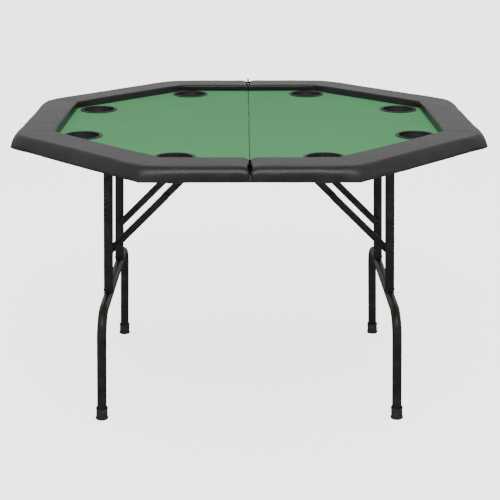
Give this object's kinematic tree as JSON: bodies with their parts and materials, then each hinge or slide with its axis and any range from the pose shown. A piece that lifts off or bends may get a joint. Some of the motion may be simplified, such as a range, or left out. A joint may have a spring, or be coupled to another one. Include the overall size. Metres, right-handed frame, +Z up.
{
  "type": "poker table",
  "caption": "Octagonal poker table with padded rail, felt top and cup holders; the top folds in half and two braced steel leg frames fold under it.",
  "frame": {"origin": "on the floor under the middle of the table top, where the fold line crosses the middle", "axes": "+X to the right half, across the fold; +Y to the rear, along the fold; +Z up"},
  "size_m": [1.21, 1.21, 0.76],
  "materials": {
    "felt": "short even nap, matt",
    "rail": "soft black grained cover over foam, satin",
    "board": "plain fibreboard, unpainted",
    "cup": "black moulded, soft gloss",
    "frame": "black powder coat, satin",
    "fitting": "black powder coat, satin",
    "foot": "black rubber, matt",
    "hinge": "dark plated steel",
    "fastener": "zinc plated"
  },
  "bodies": {
    "left_top": {"left_board": "board", "left_felt": "felt", "left_rail_pad": "rail", "cup_holder_3": "cup", "cup_holder_4": "cup", "cup_holder_5": "cup", "cup_holder_6": "cup", "left_front_pivot_block": "fitting", "left_rear_pivot_block": "fitting", "left_front_brace_bracket": "fitting", "left_rear_brace_bracket": "fitting", "left_bracket_pins": "fitting", "left_front_hinge_leaf": "hinge", "left_rear_hinge_leaf": "hinge", "front_hinge_pin": "fastener", "rear_hinge_pin": "fastener", "left_hinge_screws": "fastener", "left_underside_screws": "fastener"},
    "right_top": {"right_board": "board", "right_felt": "felt", "right_rail_pad": "rail", "cup_holder_1": "cup", "cup_holder_2": "cup", "cup_holder_7": "cup", "cup_holder_8": "cup", "right_front_pivot_block": "fitting", "right_rear_pivot_block": "fitting", "right_front_brace_bracket": "fitting", "right_rear_brace_bracket": "fitting", "right_bracket_pins": "fitting", "right_front_hinge_leaf": "hinge", "right_rear_hinge_leaf": "hinge", "right_hinge_screws": "fastener", "right_underside_screws": "fastener"},
    "left_leg": {"left_pivot_tube": "frame", "left_front_upright": "frame", "left_rear_upright": "frame", "left_leg_bow": "frame", "left_front_foot": "foot", "left_rear_foot": "foot", "left_leg_rivets": "fitting"},
    "right_leg": {"right_pivot_tube": "frame", "right_front_upright": "frame", "right_rear_upright": "frame", "right_leg_bow": "frame", "right_front_foot": "foot", "right_rear_foot": "foot", "right_leg_rivets": "fitting"},
    "left_brace_lower": {"left_front_lower_link": "fitting", "left_rear_lower_link": "fitting", "left_mid_rivets": "fitting"},
    "left_brace_upper": {"left_front_upper_link": "fitting", "left_rear_upper_link": "fitting"},
    "right_brace_lower": {"right_front_lower_link": "fitting", "right_rear_lower_link": "fitting", "right_mid_rivets": "fitting"},
    "right_brace_upper": {"right_front_upper_link": "fitting", "right_rear_upper_link": "fitting"}
  },
  "joints": [
    {"name": "top_fold", "type": "hinge", "parent": "left_top", "child": "right_top", "pos_m": [0, 0, 0.7572], "axis": [0, -1, 0], "range_deg": [0, 180]},
    {"name": "left_leg_fold", "type": "hinge", "parent": "left_top", "child": "left_leg", "pos_m": [-0.368, 0, 0.707], "axis": [0, -1, 0], "range_deg": [0, 92.02]},
    {"name": "left_lower_link_swing", "type": "hinge", "parent": "left_leg", "child": "left_brace_lower", "pos_m": [-0.37854, 0, 0.40819], "axis": [0, -1, 0], "range_deg": [0, 43.16]},
    {"name": "left_upper_link_swing", "type": "hinge", "parent": "left_top", "child": "left_brace_upper", "pos_m": [-0.078, 0, 0.707], "axis": [0, -1, 0], "range_deg": [-44.84, 0]},
    {"name": "right_leg_fold", "type": "hinge", "parent": "right_top", "child": "right_leg", "pos_m": [0.368, 0, 0.707], "axis": [0, 1, 0], "range_deg": [0, 87]},
    {"name": "right_lower_link_swing", "type": "hinge", "parent": "right_leg", "child": "right_brace_lower", "pos_m": [0.37854, 0, 0.40819], "axis": [0, 1, 0], "range_deg": [0, 42.19]},
    {"name": "right_upper_link_swing", "type": "hinge", "parent": "right_top", "child": "right_brace_upper", "pos_m": [0.078, 0, 0.707], "axis": [0, 1, 0], "range_deg": [-43.85, 0]}
  ],
  "couplings": [
    {"joint": "left_lower_link_swing", "follows": "left_leg_fold", "ratio": 0.46886},
    {"joint": "left_upper_link_swing", "follows": "left_leg_fold", "ratio": -0.48723},
    {"joint": "right_lower_link_swing", "follows": "right_leg_fold", "ratio": 0.48486},
    {"joint": "right_upper_link_swing", "follows": "right_leg_fold", "ratio": -0.50388}
  ]
}
